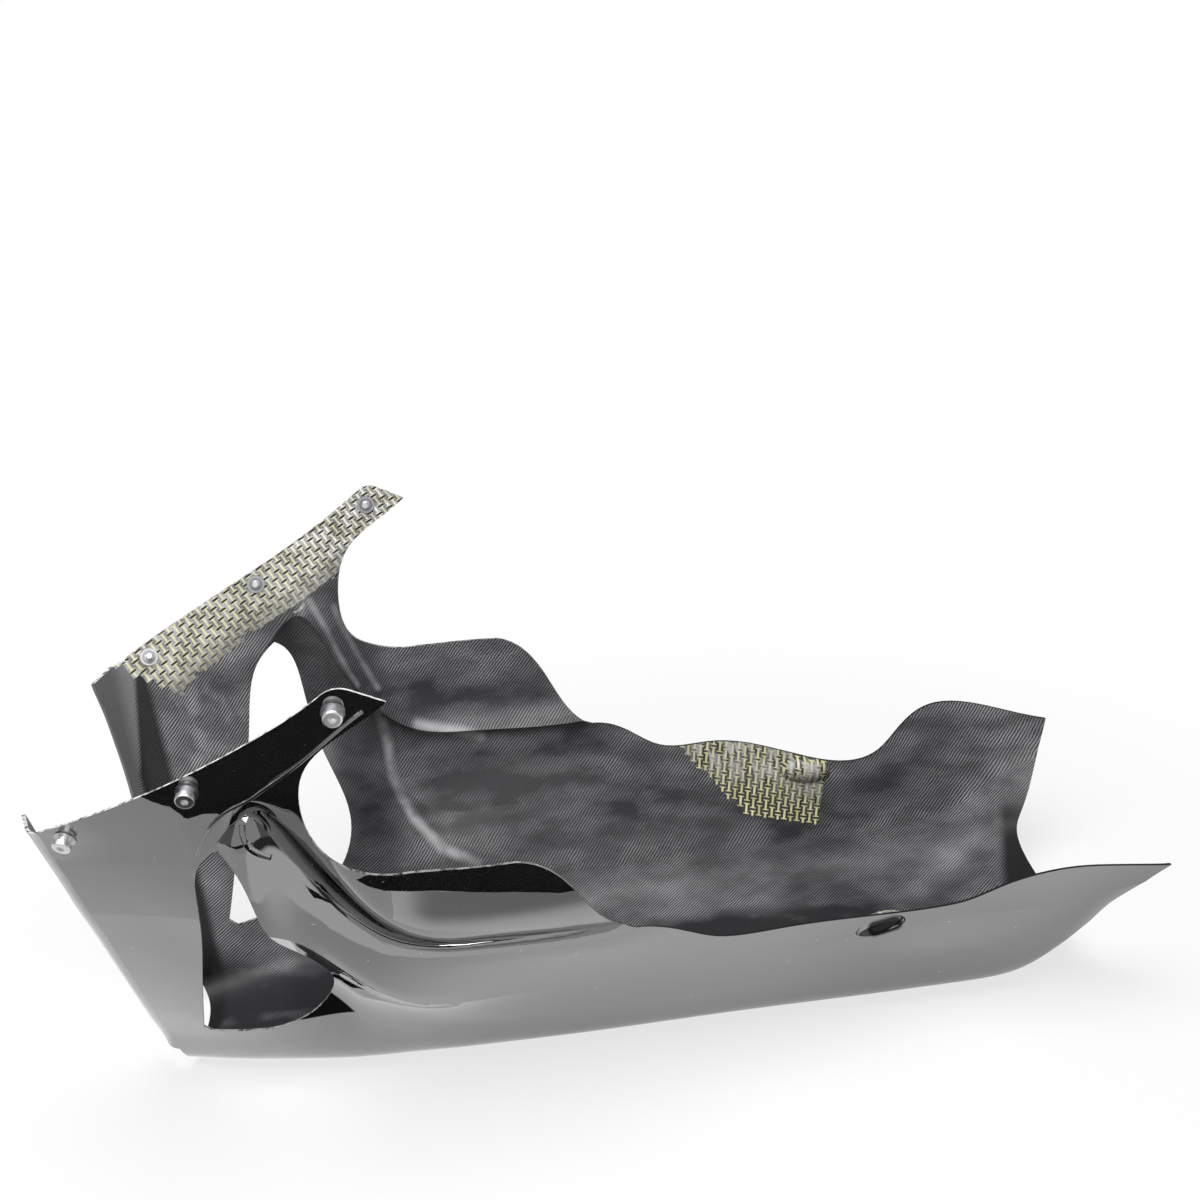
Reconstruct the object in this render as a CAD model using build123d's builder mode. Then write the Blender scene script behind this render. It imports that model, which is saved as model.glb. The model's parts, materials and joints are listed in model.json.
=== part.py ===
from build123d import *
import math
import os

# Motorcycle belly pan: a moulded laminate trough that closes the underside of a fairing.
# Millimetres. +X runs to the rear of the motorcycle, +Y to its right, +Z up. The origin lies under the
# middle of the pan, on the plane that the floor rests on. The right half is shaped and mirrored.

WALL = 2.0              # laminate thickness
WAIST = 45.0            # height where the floor curve hands over to the side wall

FLANGE_BEND = 8.0       # length of the bend from wing panel to flange, on each side of its corner
FLANGE_WALL = 2.2       # laminate thickness of the flange
FLANGE_INSET = 1.0      # its outer face lies this deep under the wing panel's
FLANGE_LAP = 9.0        # length that the flange laps the wing panel inside
FLANGE_LEAD = 1.5       # straight length in front of the trimmed edge, before the bend
FLANGE_BOTTOM = 18.0    # height of the flange's foot
FLANGE_STEP = 1.5       # the flange's top starts this much below the wing panel's corner
FLANGE_FALL = 4.0       # degrees that the flange's top slopes down inboard
FLANGE_LEAN = 20.0      # degrees that the flange leans forward of straight inboard
FLANGE_SECTIONS = 13

DIMPLE_AT = (166.0, 87.5)   # x and z of the finger dimple near the waist edge
DIMPLE_LENGTH = 38.0
DIMPLE_RADIUS = 9.0
DIMPLE_LIFT = 2.5           # the dimple's axis stands off the skin by this much

RIDGE_RADIUS = 1.3      # bead along the rear border of the wing panel and the lower border of the arm
RIDGE_LIFT = -0.1       # the bead's centre line lies this far over the skin
GROOVE_RADIUS = 2.6     # short curved groove on top of the scoop
GROOVE_LIFT = 1.6       # the groove's centre line stands this far over the skin

STUD_STATIONS = (-334.0, -249.0, -156.0)    # three fasteners along each arm
STUD_EDGE = 11.0        # distance of a fastener below the arm's top edge
SEAT_DEPTH = 0.4        # flat spot under each grommet, outside
SEAT_GRIP = 1.0         # laminate left between the outer and inner flat spots
SEAT_CLEARANCE = 0.4    # the flat spot is wider than the grommet by this much all round
GROMMET_RADIUS = 6.8
GROMMET_LIP = 1.2       # thickness of each grommet flange
SLEEVE_RADIUS = 4.6
STUD_RADIUS = 3.0
STUD_CLEARANCE = 0.2    # between stud and grommet bore
NECK_RADIUS = 4.2
NECK_LENGTH = 3.6
HEAD_RADIUS = 5.8
HEAD_LENGTH = 3.6
HEAD_ROUND = 1.2
SOCKET_RADIUS = 2.6
SOCKET_DEPTH = 2.2
RING_RADIUS = 5.0
RING_THICKNESS = 1.0
TAIL_RADIUS = 2.7       # free end of a stud beyond its retaining ring
TAIL_LENGTH = 5.5
TAIL_CHAMFER = 0.6

# Form lines of the outer skin, each a list of knots by station x.
KEEL = [(-372, 0), (260, 0), (275, 1.5), (290, 9), (305, 18.5), (322, 28.5), (375, 40)]
FLOOR = [(-372, 36), (-317, 60), (-262, 77), (-200, 88), (-120, 97), (0, 99), (240, 100),
         (280, 93), (305, 86), (324, 71), (375, 50)]
SIDE = [(-372, 38), (-262, 78), (-200, 86), (-155, 98), (0, 110), (63, 110), (198, 105), (250, 106),
        (282, 101), (305, 94), (324, 82), (375, 58)]
SIDE_ANGLE = [(-372, 55), (-262, 64), (-200, 78), (-155, 62), (63, 53), (198, 66), (290, 60),
              (324, 53), (352, 46), (375, 42)]
SIDE_HANDLE = [(-262, 45), (-198, 34), (-170, 22), (-118, 15), (375, 14)]
# Lip: lower edge of the scoop band, (y, z); it fades into the side wall behind the scoop.
LIP = [(-372, 101, 171), (-262, 139.5, 171), (-222, 167, 170), (-198, 153, 146), (-170, 150, 115),
       (-143, 141, 91), (-118, 134, 83), (63, 133, 85), (130, 126, 83), (198, 111.5, 83), (275, 119, 85),
       (352, 106.5, 85), (375, 102, 85)]
UNDERCUT = [(-262, 21, 42), (-222, 58, 62), (-198, 54, 50), (-170, 38, 29), (-143, 19, 11), (-118, 10, 9),
            (0, 7, 13), (198, 4, 14), (290, 6, 13), (324, 8.5, 11.5), (352, 10, 10), (375, 10.5, 9.5)]
# Crease: the joggle between scoop band and recessed shelf, (y, z).
CREASE = [(-372, 122, 222), (-262, 160, 222), (-230, 171, 250), (-214, 165, 258), (-204, 160, 240),
          (-180, 152, 194), (-165, 154, 172), (-145, 158, 154), (-118, 160, 145), (-14, 156.5, 139),
          (63, 159, 141), (130, 154, 141), (198, 129, 141), (275, 147, 141),
          (320, 146, 141), (375, 151, 141)]
BAND_LOW = [(-262, 0, 0), (-230, 12, -2), (-200, 13, -3), (-84, 8, 5), (-14, 6, 3), (30, 0, 0)]
BAND_HIGH = [(-262, 0, 0), (-230, 17, 8), (-200, 19, 20), (-84, 20, 11), (-14, 14, 6), (30, 0, 0)]
# Crown: the skin's upper limit before trimming, (y, z), with the handles of the curve that leads up to it.
CROWN = [(-372, 139, 256), (-317, 167, 276), (-262, 186, 297), (-207, 200, 325), (-164, 209, 350),
         (-126, 209, 356), (-84, 192, 262), (0, 180, 205), (63, 176, 190), (130, 172, 190), (198, 145, 190),
         (290, 160, 190), (375, 144, 190)]
SHELF_LOW = [(-372, 6, 11), (-262, 9, 25), (-230, 8, 20), (-214, 15, 4), (-198, 14, 12), (-187, 32, 19),
             (-165, 39, 28), (-120, 26, 23), (-40, 19, 18), (63, 6, 16), (375, 6, 16)]
SHELF_HIGH = [(-372, 6, 11), (-262, 9, 25), (-230, 8, 21), (-198, 15, 47), (-165, 19, 75), (-120, 17, 95),
              (-84, 4, 62), (-40, 2, 38), (63, 6, 16), (375, 6, 16)]

PROBE = 2.0     # half step over which the skin's slopes are measured
TRIM_REACH = max(knot[1] for knot in CROWN) + 20    # half width that the trimming cuts reach over
WING_STATIONS = (-372, -352, STUD_STATIONS[0], -316, -298, -280, -262)
HULL_STATIONS = (-262, STUD_STATIONS[1], -236, -222, -208, -195, -180, STUD_STATIONS[2], -130, -95, -50, -10,
                 40, 100, 160, 210, 240, 258, 275, 292, 310, 328, 350, 375)

# Side outline, (x, z).
NOSE = [(-300, -4), (-316, 5), (-325, 27), (-330, 83), (-340, 165), (-351, 247.5)]
BROW = [(-351, 247.5), (-308, 266), (-237, 297), (-162, 339)]
ARM_CORNER = [(-162, 339), (-154, 342.5), (-146, 341)]
ARM_TIP = (-126, 330)
NOTCH = [(-126, 330), (-152, 313.5), (-176, 295), (-187, 262), (-180, 229), (-158, 214.5), (-130, 211)]
SHELF_END = [(-67, 208.5), (-50, 200.5), (-32, 177), (-12, 144), (2, 135.5)]
WAIST_EDGE = [(2, 135.5), (28, 128), (52, 114.5), (97, 112), (161, 100), (200, 93), (226, 97), (249, 112),
              (272, 122), (322, 117), (365.5, 105)]
TAIL = [(365.5, 105), (299.8, -4)]

# Width of the turned-in leading edge beyond its bend, by height: it flares towards the top, (z, width).
FLANGE_WIDTHS = [(18, 4), (150, 9), (205, 15), (247.5, 25)]

# Bead from the vent's top along the arm, and groove on the scoop, (x, z).
RIDGE = [(-254, 231), (-247.5, 244), (-240, 254), (-230.5, 262), (-218, 267.5), (-207, 275), (-191, 287.5),
         (-174, 301), (-152, 318), (-140, 326)]
GROOVE = [(-223.5, 250.5), (-223.5, 244.5), (-222, 239.5), (-217, 233), (-210, 227)]

# Vent between wing panel and scoop, (x, z).
VENT_REAR = [(-241, 235), (-232, 222), (-226, 194), (-222, 171)]
VENT_LOW = [(-222, 171), (-208, 134), (-197.5, 99), (-203, 80), (-225, 57), (-258, 47)]
VENT_SILL = (-291, 45)
VENT_FRONT = [(-297, 50), (-285, 100), (-267, 180), (-258, 218), (-241, 235)]


def slope(line, i, column):
    """Slope of a form line at its knot i, level where the line turns."""
    steps = [(b[column] - a[column]) / (b[0] - a[0]) for a, b in zip(line, line[1:])]
    if i == 0 or i == len(steps):
        return steps[min(i, len(steps) - 1)]
    if steps[i - 1] * steps[i] <= 0:
        return 0.0
    return 2 * steps[i - 1] * steps[i] / (steps[i - 1] + steps[i])


def along(line, x):
    """Values of a form line at station x, on smooth cubics between its knots."""
    x = min(max(x, line[0][0]), line[-1][0])
    i = max(k for k in range(len(line) - 1) if line[k][0] <= x)
    a, b = line[i], line[i + 1]
    span = b[0] - a[0]
    t = (x - a[0]) / span
    values = []
    for column in range(1, len(a)):
        start = slope(line, i, column) * span
        end = slope(line, i + 1, column) * span
        values.append(
            a[column] * (1 + 2 * t) * (1 - t) ** 2
            + start * t * (1 - t) ** 2
            + b[column] * t * t * (3 - 2 * t)
            - end * t * t * (1 - t)
        )
    return values


def skin_section(x):
    """Control points of the outer skin at station x: four cubics for floor, side, band and shelf."""
    (keel,) = along(KEEL, x)
    (floor,) = along(FLOOR, x)
    (side,) = along(SIDE, x)
    angle = math.radians(along(SIDE_ANGLE, x)[0])
    (handle,) = along(SIDE_HANDLE, x)
    lip = along(LIP, x)
    undercut = along(UNDERCUT, x)
    crease = along(CREASE, x)
    low = along(BAND_LOW, x)
    high = along(BAND_HIGH, x)
    crown = along(CROWN, x)
    shelf_low = along(SHELF_LOW, x)
    shelf_high = along(SHELF_HIGH, x)
    reach = 0.75 * (WAIST - keel)
    return [
        (0, keel),
        (floor, keel),
        (side - reach * math.cos(angle), WAIST - reach * math.sin(angle)),
        (side, WAIST),
        (side + handle * math.cos(angle), WAIST + handle * math.sin(angle)),
        (lip[0] - undercut[0], lip[1] - undercut[1]),
        (lip[0], lip[1]),
        ((2 * lip[0] + crease[0]) / 3 + low[0], (2 * lip[1] + crease[1]) / 3 + low[1]),
        ((lip[0] + 2 * crease[0]) / 3 + high[0], (lip[1] + 2 * crease[1]) / 3 + high[1]),
        (crease[0], crease[1]),
        (crease[0] + shelf_low[0], crease[1] + shelf_low[1]),
        (crown[0] - shelf_high[0], crown[1] - shelf_high[1]),
        (crown[0], crown[1]),
    ]


def inset(points, thickness):
    """The same chain of points moved inward by a laminate thickness."""
    normals = []
    for a, b in zip(points, points[1:]):
        length = math.hypot(b[0] - a[0], b[1] - a[1])
        normals.append(((a[1] - b[1]) / length, (b[0] - a[0]) / length))
    normals = [normals[0]] + normals + [normals[-1]]
    moved = []
    for point, n, m in zip(points, normals, normals[1:]):
        scale = thickness / max(1 + n[0] * m[0] + n[1] * m[1], 0.5)
        moved.append((point[0] + scale * (n[0] + m[0]), point[1] + scale * (n[1] + m[1])))
    return moved


def skin_y(x, z):
    """Half width of the outer skin at station x and height z."""
    points = skin_section(x)
    found = 0.0
    for k in range(0, 12, 3):
        p = points[k:k + 4]
        curve = []
        for step in range(41):
            t = step / 40
            weights = ((1 - t) ** 3, 3 * t * (1 - t) ** 2, 3 * t * t * (1 - t), t ** 3)
            curve.append([sum(w * q[axis] for w, q in zip(weights, p)) for axis in (0, 1)])
        for a, b in zip(curve, curve[1:]):
            if min(a[1], b[1]) <= z < max(a[1], b[1]):
                found = a[0] + (b[0] - a[0]) * (z - a[1]) / (b[1] - a[1])
    return found


def skin_plane(x, z):
    """Plane on the outer skin, its normal pointing out of the pan."""
    across = (skin_y(x + PROBE, z) - skin_y(x - PROBE, z)) / (2 * PROBE)
    up = (skin_y(x, z + PROBE) - skin_y(x, z - PROBE)) / (2 * PROBE)
    return Plane(origin=(x, skin_y(x, z), z), x_dir=(1, across, 0), z_dir=(-across, 1, -up))


def rod(line, radius, lift):
    """Round rod that follows a line on the outer skin, its centre lifted off the skin."""
    with BuildPart() as body:
        with BuildLine() as path:
            Spline(*[skin_plane(x, z).offset(lift).origin for x, z in line])
        with BuildSketch(Plane(origin=path.line @ 0, z_dir=path.line % 0)):
            Circle(radius)
        sweep(path=path.line)
    return body.part


def ribbon(x):
    """Closed section of the laminate at station x."""
    outer = skin_section(x)
    inner = inset(outer, WALL)
    with BuildSketch(Plane.YZ.offset(x)) as section:
        with BuildLine():
            for k in range(0, 12, 3):
                Bezier(*outer[k:k + 4])
            Line(outer[-1], inner[-1])
            for k in range(9, -1, -3):
                Bezier(*reversed(inner[k:k + 4]))
            Line(inner[0], outer[0])
        make_face()
    return section.sketch


def nose_x(z):
    """Station of the trimmed leading edge at height z."""
    return along([(height, station) for station, height in NOSE], z)[0]


def flange_section(share):
    """Closed section of the turned-in leading edge, at a share of the way up from its foot."""
    z = FLANGE_BOTTOM + share * (NOSE[-1][1] - FLANGE_BOTTOM)
    x = nose_x(z)
    (width,) = along(FLANGE_WIDTHS, z)
    forward = Vector(-2 * PROBE, skin_y(x - 2 * PROBE, z) - skin_y(x, z)).normalized()
    lean = math.radians(FLANGE_LEAN)
    inward = Vector(-math.sin(lean), -math.cos(lean))
    aside = Vector(-forward.Y, forward.X)
    behind = Vector(-inward.Y, inward.X)
    start = Vector(x, skin_y(x, z)) + forward * FLANGE_LEAD + aside * FLANGE_INSET
    corner = start + forward * FLANGE_BEND
    turn = corner + inward * FLANGE_BEND
    root = start - forward * (FLANGE_LEAD + FLANGE_LAP)
    end = turn + inward * width
    inner_corner = corner + (aside + behind) * (FLANGE_WALL / (1 + aside.dot(behind)))
    with BuildSketch(Plane.XY.offset(z)) as section:
        with BuildLine():
            Line(root, start)
            Bezier(start, corner, turn)
            Line(turn, end)
            Line(end, end + behind * FLANGE_WALL)
            Line(end + behind * FLANGE_WALL, turn + behind * FLANGE_WALL)
            Bezier(turn + behind * FLANGE_WALL, inner_corner, start + aside * FLANGE_WALL)
            Line(start + aside * FLANGE_WALL, root + aside * FLANGE_WALL)
            Line(root + aside * FLANGE_WALL, root)
        make_face()
    return section.sketch


def stud_planes():
    """Planes of the right-hand fasteners on the outer skin, normals pointing out."""
    return [skin_plane(x, along(BROW, x)[0] - STUD_EDGE) for x in STUD_STATIONS]


SEATS = stud_planes()
DIMPLE = skin_plane(*DIMPLE_AT)
SEAT_RADIUS = GROMMET_RADIUS + SEAT_CLEARANCE
INNER_SEAT = SEAT_DEPTH + SEAT_GRIP
RING_FACE = INNER_SEAT + GROMMET_LIP
GROMMET_FACE = GROMMET_LIP - SEAT_DEPTH


def spindle(length, radius):
    """Solid of half an ellipse turned about its long axis, which lies along the dimple."""
    with BuildPart() as body:
        with BuildSketch(DIMPLE.offset(DIMPLE_LIFT)):
            with BuildLine():
                EllipticalCenterArc((0, 0), length / 2, radius, arc_size=180)
                Line((-length / 2, 0), (length / 2, 0))
            make_face()
        revolve(axis=Axis(DIMPLE.offset(DIMPLE_LIFT).origin, DIMPLE.x_dir))
    return body.part


# The bulge behind the dimple, kept only inboard of the outer skin.
with BuildPart() as bulge:
    add(spindle(DIMPLE_LENGTH + 3 * WALL, DIMPLE_RADIUS + WALL))
    split(bisect_by=DIMPLE.offset(-WALL / 2), keep=Keep.BOTTOM)

# Turned-in leading edge of the wing panel, its top sloping down inboard.
CORNER = (NOSE[-1][0], skin_y(*NOSE[-1]), NOSE[-1][1] - FLANGE_STEP)
with BuildPart() as flange:
    loft(sections=[flange_section(step / (FLANGE_SECTIONS - 1)) for step in range(FLANGE_SECTIONS)])
    split(bisect_by=Plane(origin=CORNER, x_dir=(1, 0, 0)).rotated((FLANGE_FALL, 0, 0)), keep=Keep.BOTTOM)

# Laminate shell: floor, sides, wing panels, scoop bands, shelves and arms in one moulding.
with BuildPart() as shell:
    loft(sections=[ribbon(station) for station in WING_STATIONS])
    loft(sections=[ribbon(station) for station in HULL_STATIONS])
    add(rod(RIDGE, RIDGE_RADIUS, RIDGE_LIFT))
    add(rod(GROOVE, GROOVE_RADIUS, GROOVE_LIFT), mode=Mode.SUBTRACT)
    with BuildSketch(Plane.XZ):
        with BuildLine():
            Spline(*NOSE)
            Spline(*BROW)
            Spline(*ARM_CORNER)
            Line(ARM_CORNER[-1], ARM_TIP)
            Spline(*NOTCH)
            Line(NOTCH[-1], SHELF_END[0])
            Spline(*SHELF_END)
            Spline(*WAIST_EDGE)
            Polyline(*TAIL)
            Line(TAIL[-1], NOSE[0])
        make_face()
    extrude(amount=TRIM_REACH, both=True, mode=Mode.INTERSECT)
    with BuildSketch(Plane.XZ):
        with BuildLine():
            Spline(*VENT_REAR)
            Spline(*VENT_LOW)
            Polyline(VENT_LOW[-1], VENT_SILL, VENT_FRONT[0])
            Spline(*VENT_FRONT)
        make_face()
    extrude(amount=TRIM_REACH, both=True, mode=Mode.SUBTRACT)
    add(flange.part)
    add(bulge.part)
    add(spindle(DIMPLE_LENGTH, DIMPLE_RADIUS), mode=Mode.SUBTRACT)
    for seat in SEATS:
        with Locations(seat.offset(-SEAT_DEPTH)):
            Cylinder(SEAT_RADIUS, 4 * WALL, align=(Align.CENTER, Align.CENTER, Align.MIN), mode=Mode.SUBTRACT)
        with Locations(seat.offset(-INNER_SEAT)):
            Cylinder(SEAT_RADIUS, 4 * WALL, align=(Align.CENTER, Align.CENTER, Align.MAX), mode=Mode.SUBTRACT)
        with Locations(seat):
            Cylinder(SLEEVE_RADIUS, 8 * WALL, mode=Mode.SUBTRACT)
    mirror(about=Plane.XZ)
shell.part.label = "belly_pan_shell"

BASE = (Align.CENTER, Align.CENTER, Align.MIN)

# Grommets: a sleeve through the laminate between an outer and an inner flange.
with BuildPart() as grommets:
    for seat in SEATS:
        with Locations(seat.offset(-SEAT_DEPTH)):
            Cylinder(GROMMET_RADIUS, GROMMET_LIP, align=BASE)
        with Locations(seat.offset(-RING_FACE)):
            Cylinder(GROMMET_RADIUS, GROMMET_LIP, align=BASE)
            Cylinder(SLEEVE_RADIUS, RING_FACE, align=BASE)
        with Locations(seat):
            Cylinder(STUD_RADIUS + STUD_CLEARANCE, 8 * WALL, mode=Mode.SUBTRACT)
    mirror(about=Plane.XZ)
grommets.part.label = "fastener_grommets"

# Retaining rings on the inner end of each stud.
with BuildPart() as rings:
    for seat in SEATS:
        with Locations(seat.offset(-RING_FACE - RING_THICKNESS)):
            Cylinder(RING_RADIUS, RING_THICKNESS, align=BASE)
            Cylinder(STUD_RADIUS, RING_THICKNESS, align=BASE, mode=Mode.SUBTRACT)
    mirror(about=Plane.XZ)
rings.part.label = "fastener_rings"

# Quarter-turn studs: domed head with a hexagon socket, neck on the grommet, shank through to the inside.
with BuildPart() as studs:
    for seat in SEATS:
        foot = RING_FACE + RING_THICKNESS + TAIL_LENGTH
        top = GROMMET_FACE + NECK_LENGTH + HEAD_LENGTH
        with BuildSketch(Plane(origin=seat.origin, x_dir=seat.x_dir, z_dir=-seat.y_dir)):
            with BuildLine():
                Polyline(
                    (0, -foot),
                    (TAIL_RADIUS - TAIL_CHAMFER, -foot),
                    (TAIL_RADIUS, TAIL_CHAMFER - foot),
                    (TAIL_RADIUS, TAIL_LENGTH - foot),
                    (STUD_RADIUS, TAIL_LENGTH - foot),
                    (STUD_RADIUS, GROMMET_FACE),
                    (NECK_RADIUS, GROMMET_FACE),
                    (NECK_RADIUS, GROMMET_FACE + NECK_LENGTH),
                    (HEAD_RADIUS, GROMMET_FACE + NECK_LENGTH),
                    (HEAD_RADIUS, top - HEAD_ROUND),
                )
                TangentArc((HEAD_RADIUS, top - HEAD_ROUND), (HEAD_RADIUS - HEAD_ROUND, top), tangent=(0, 1))
                Polyline((HEAD_RADIUS - HEAD_ROUND, top), (0, top), (0, -foot))
            make_face()
        revolve(axis=Axis(seat.origin, seat.z_dir))
        with BuildSketch(seat.offset(top)):
            RegularPolygon(SOCKET_RADIUS, 6)
        extrude(amount=-SOCKET_DEPTH, mode=Mode.SUBTRACT)
    mirror(about=Plane.XZ)
studs.part.label = "fastener_studs"

os.makedirs("parts", exist_ok=True)
export_step(shell.part, "parts/belly_pan_shell.step")
export_step(grommets.part, "parts/fastener_grommets.step")
export_step(rings.part, "parts/fastener_rings.step")
export_step(studs.part, "parts/fastener_studs.step")
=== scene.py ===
# %% [markdown]
# # A motorcycle belly pan
#
# The real object is one thin laminate moulding that closes the underside of a fairing. Its outside is black
# gel coat with a mirror gloss. Its inside is bare cloth under resin: fine carbon twill nearly everywhere, and
# a coarser cloth of carbon and yellow aramid tows along the arms and at the waist. The shapes come from the
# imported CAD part. This lesson gives them their finishes, a camera and a small studio.

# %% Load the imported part
import json
import math

import bpy
from mathutils import Matrix, Vector

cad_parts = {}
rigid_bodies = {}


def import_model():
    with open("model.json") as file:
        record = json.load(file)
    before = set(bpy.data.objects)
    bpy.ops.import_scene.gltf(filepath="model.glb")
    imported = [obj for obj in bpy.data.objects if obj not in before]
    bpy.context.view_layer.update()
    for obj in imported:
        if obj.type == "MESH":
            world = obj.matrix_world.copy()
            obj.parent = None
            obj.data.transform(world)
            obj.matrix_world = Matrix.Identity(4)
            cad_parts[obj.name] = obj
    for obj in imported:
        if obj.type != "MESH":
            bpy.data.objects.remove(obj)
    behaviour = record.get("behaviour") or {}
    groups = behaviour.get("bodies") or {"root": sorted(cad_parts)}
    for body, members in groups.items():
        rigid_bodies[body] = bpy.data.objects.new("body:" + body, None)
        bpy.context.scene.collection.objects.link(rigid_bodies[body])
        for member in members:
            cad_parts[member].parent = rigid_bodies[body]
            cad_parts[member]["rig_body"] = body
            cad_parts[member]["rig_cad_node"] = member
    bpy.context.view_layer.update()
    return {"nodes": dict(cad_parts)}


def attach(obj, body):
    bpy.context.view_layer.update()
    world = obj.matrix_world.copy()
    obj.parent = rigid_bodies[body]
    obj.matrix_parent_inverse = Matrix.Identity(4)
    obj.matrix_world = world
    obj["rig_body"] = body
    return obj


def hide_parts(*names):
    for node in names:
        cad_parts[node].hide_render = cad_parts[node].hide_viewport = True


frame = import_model()

# %% [markdown]
# ## The shell as one skin
#
# The CAD node of the shell is a closed solid with a wall of 2 mm. Each of its faces is a sheet of triangles of
# its own, with the exact normals of the curved surface. The finishes differ from face to face, so a copy
# stands for the node. Before the copy is merged into one skin, its sheets are numbered: two triangles belong
# to one sheet when they share a corner.

# %% Copy the shell and number its sheets
shell_node = frame["nodes"]["belly_pan_shell"]


def make_active(piece):
    """Deselects everything else and makes one piece the active one."""
    bpy.ops.object.select_all(action="DESELECT")
    piece.select_set(True)
    bpy.context.view_layer.objects.active = piece


def sheet_numbers(mesh):
    """A number for each face of a mesh, the same for faces that hang together by their corners."""
    leader = list(range(len(mesh.vertices)))

    def first(corner):
        while leader[corner] != corner:
            leader[corner] = leader[leader[corner]]
            corner = leader[corner]
        return corner

    for face in mesh.polygons:
        start = first(face.vertices[0])
        for corner in face.vertices[1:]:
            leader[first(corner)] = start
    return [first(face.vertices[0]) for face in mesh.polygons]


sheets = sheet_numbers(shell_node.data)
make_active(shell_node)
bpy.ops.object.duplicate()
skin = bpy.context.active_object
skin.name = "belly_pan_skin"
skin.parent = None
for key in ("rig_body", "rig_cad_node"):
    del skin[key]
print("sheets", len(set(sheets)), "faces", len(sheets))

# %% [markdown]
# Merging joins the sheets along the edges they have in common. It leaves every face where it is, but it upsets
# the normals. The exact ones are carried over from the CAD node, because a black mirror shows every facet that
# a rougher finish would hide.

# %% Merge the copy and keep the exact normals
MERGE_WITHIN = 1e-6       # metres; corners closer than this become one

exact_normals = [corner.vector[:] for corner in shell_node.data.corner_normals]
bpy.ops.object.mode_set(mode="EDIT")
bpy.ops.mesh.select_all(action="SELECT")
bpy.ops.mesh.remove_doubles(threshold=MERGE_WITHIN)
bpy.ops.object.mode_set(mode="OBJECT")
if len(skin.data.loops) == len(exact_normals):
    skin.data.normals_split_custom_set(exact_normals)
print("skin", len(skin.data.vertices), "vertices", len(skin.data.polygons), "faces")

# %% [markdown]
# ## Outside, inside and cut edge
#
# Every sheet of the skin has one of three finishes. The rims were sawn straight across, so a cut edge never
# looks sideways, while every moulded sheet does somewhere. Of the moulded sheets, one that looks away from the
# middle of the trough is outside. Single triangles can be misled by a hollow, so a sheet is judged by its
# whole area.

# %% Sort the sheets
SAWN_LIMIT = 0.09         # a sheet that looks sideways less than this, on average, is a cut edge
TROUGH_HEIGHT = 0.15      # height of the line in the middle of the trough that faces are compared with
TROUGH_SHARE = 0.75       # the line's point for a face lies at this share of the face's x
OUTSIDE, INSIDE, CUT_EDGE = range(3)

sums = {}
for face, sheet in zip(skin.data.polygons, sheets):
    middle = Vector((face.center.x * TROUGH_SHARE, 0, TROUGH_HEIGHT))
    away = math.copysign(face.area, face.normal.dot(face.center - middle))
    total = sums.setdefault(sheet, [0.0, 0.0, 0.0])
    for place_in_sum, amount in enumerate((face.area, face.area * abs(face.normal.y), away)):
        total[place_in_sum] += amount


def finish_of(area, sideways, away):
    """The finish of a sheet from its sums."""
    if sideways < SAWN_LIMIT * area:
        return CUT_EDGE
    return OUTSIDE if away > 0 else INSIDE


chosen = {sheet: finish_of(*total) for sheet, total in sums.items()}
finishes = [chosen[sheet] for sheet in sheets]
print("faces outside, inside, cut edge:", [finishes.count(k) for k in (OUTSIDE, INSIDE, CUT_EDGE)])

# %% [markdown]
# ## Small helpers for materials
#
# A woven pattern is arithmetic on the place of a point: which tow am I on, and how far from its middle? The
# shader editor does such sums with Math nodes. These helpers add a node or a few and hand back the output, so
# that a pattern can be written as a few readable lines.

# %% Helpers for numbers and colours


def new_material(name):
    """A material, its node tree and its shader."""
    material = bpy.data.materials.new(name)
    material.use_nodes = True
    return material, material.node_tree, material.node_tree.nodes["Principled BSDF"]


def feed(tree, socket, term):
    """Puts a number or another node's output into a socket."""
    if hasattr(term, "is_linked"):
        tree.links.new(term, socket)
    else:
        socket.default_value = term


def calc(tree, operation, *terms):
    """One Math node."""
    node = tree.nodes.new("ShaderNodeMath")
    node.operation = operation
    for socket, term in zip(node.inputs, terms):
        feed(tree, socket, term)
    return node.outputs[0]


def chain(tree, operation, *terms):
    """Math nodes in a row that take in one more term each."""
    total = terms[0]
    for term in terms[1:]:
        total = calc(tree, operation, total, term)
    return total


def fade(tree, term, low, high, at_low=0.0, at_high=1.0):
    """Eases from one value to another while a term goes from low to high."""
    node = tree.nodes.new("ShaderNodeMapRange")
    node.interpolation_type = "SMOOTHSTEP"
    for socket, value in zip(node.inputs, (term, low, high, at_low, at_high)):
        feed(tree, socket, value)
    return node.outputs[0]


def mix_colour(tree, share, first, second):
    """The first colour where the share is 0, the second where it is 1."""
    node = tree.nodes.new("ShaderNodeMix")
    node.data_type = "RGBA"
    feed(tree, node.inputs["Factor"], share)
    for socket, colour in ((node.inputs[6], first), (node.inputs[7], second)):
        feed(tree, socket, colour if hasattr(colour, "is_linked") else (*colour, 1.0))
    return node.outputs[2]


print("helpers for numbers and colours ready")

# %% [markdown]
# The place of a point is read in the part's own coordinates and in millimetres. Noise makes clouds of a chosen
# size from it. A bump makes fine relief that only the light sees, so the mesh stays as light as it is.

# %% Helpers for places, noise and relief


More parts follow.
